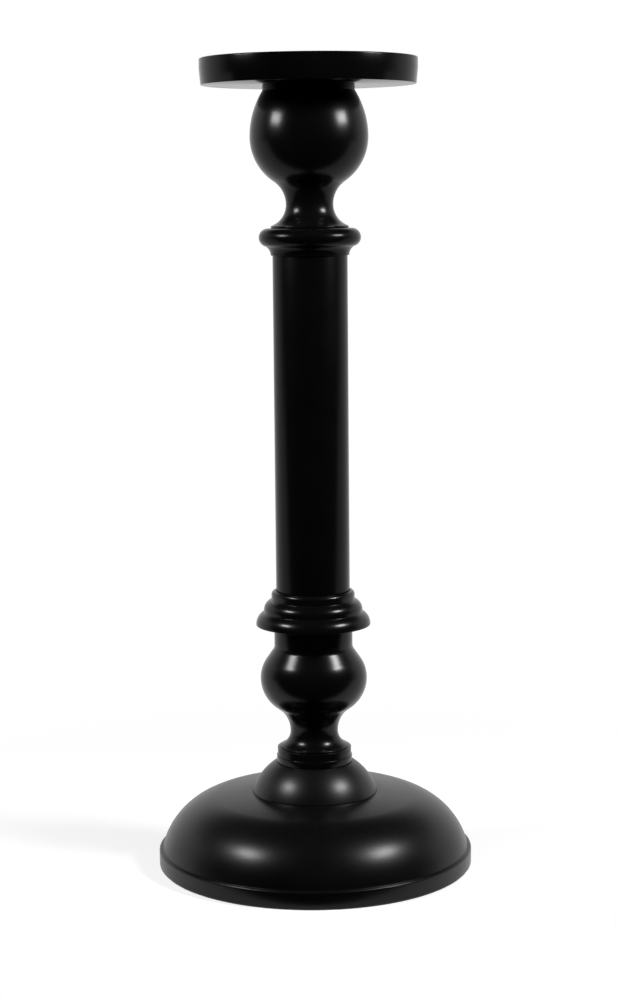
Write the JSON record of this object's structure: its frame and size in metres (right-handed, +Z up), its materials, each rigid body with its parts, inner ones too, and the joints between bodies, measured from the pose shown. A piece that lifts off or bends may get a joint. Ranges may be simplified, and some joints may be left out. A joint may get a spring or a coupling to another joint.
{
  "type": "torchere candle stand",
  "caption": "Turned black candle stand: shallow pan on a vase, plain round column, stepped flange, knop and a wide domed foot, clamped by a hidden rod.",
  "frame": {"origin": "on the floor, under the middle of the foot", "axes": "+Z up along the stand's axis; -Y is the side that the picture shows"},
  "size_m": [0.18, 0.18, 0.457],
  "materials": {
    "black_enamel": "black satin gloss baked enamel on turned aluminium",
    "zinc_steel": "bright zinc plate",
    "bare_aluminium": "as turned",
    "felt": "black wool felt"
  },
  "bodies": {
    "root": {"candle_pan": "black_enamel", "pan_nut": "zinc_steel", "pan_washer": "zinc_steel", "vase": "black_enamel", "collar": "black_enamel", "upper_plug": "bare_aluminium", "column_tube": "black_enamel", "lower_plug": "bare_aluminium", "stepped_flange": "black_enamel", "knop": "black_enamel", "neck_ring": "black_enamel", "base_boss": "black_enamel", "base_dome": "black_enamel", "spreader_plate": "zinc_steel", "base_washer": "zinc_steel", "spring_washer": "zinc_steel", "base_nut": "zinc_steel", "tie_rod": "zinc_steel", "felt_ring": "felt"}
  },
  "joints": []
}
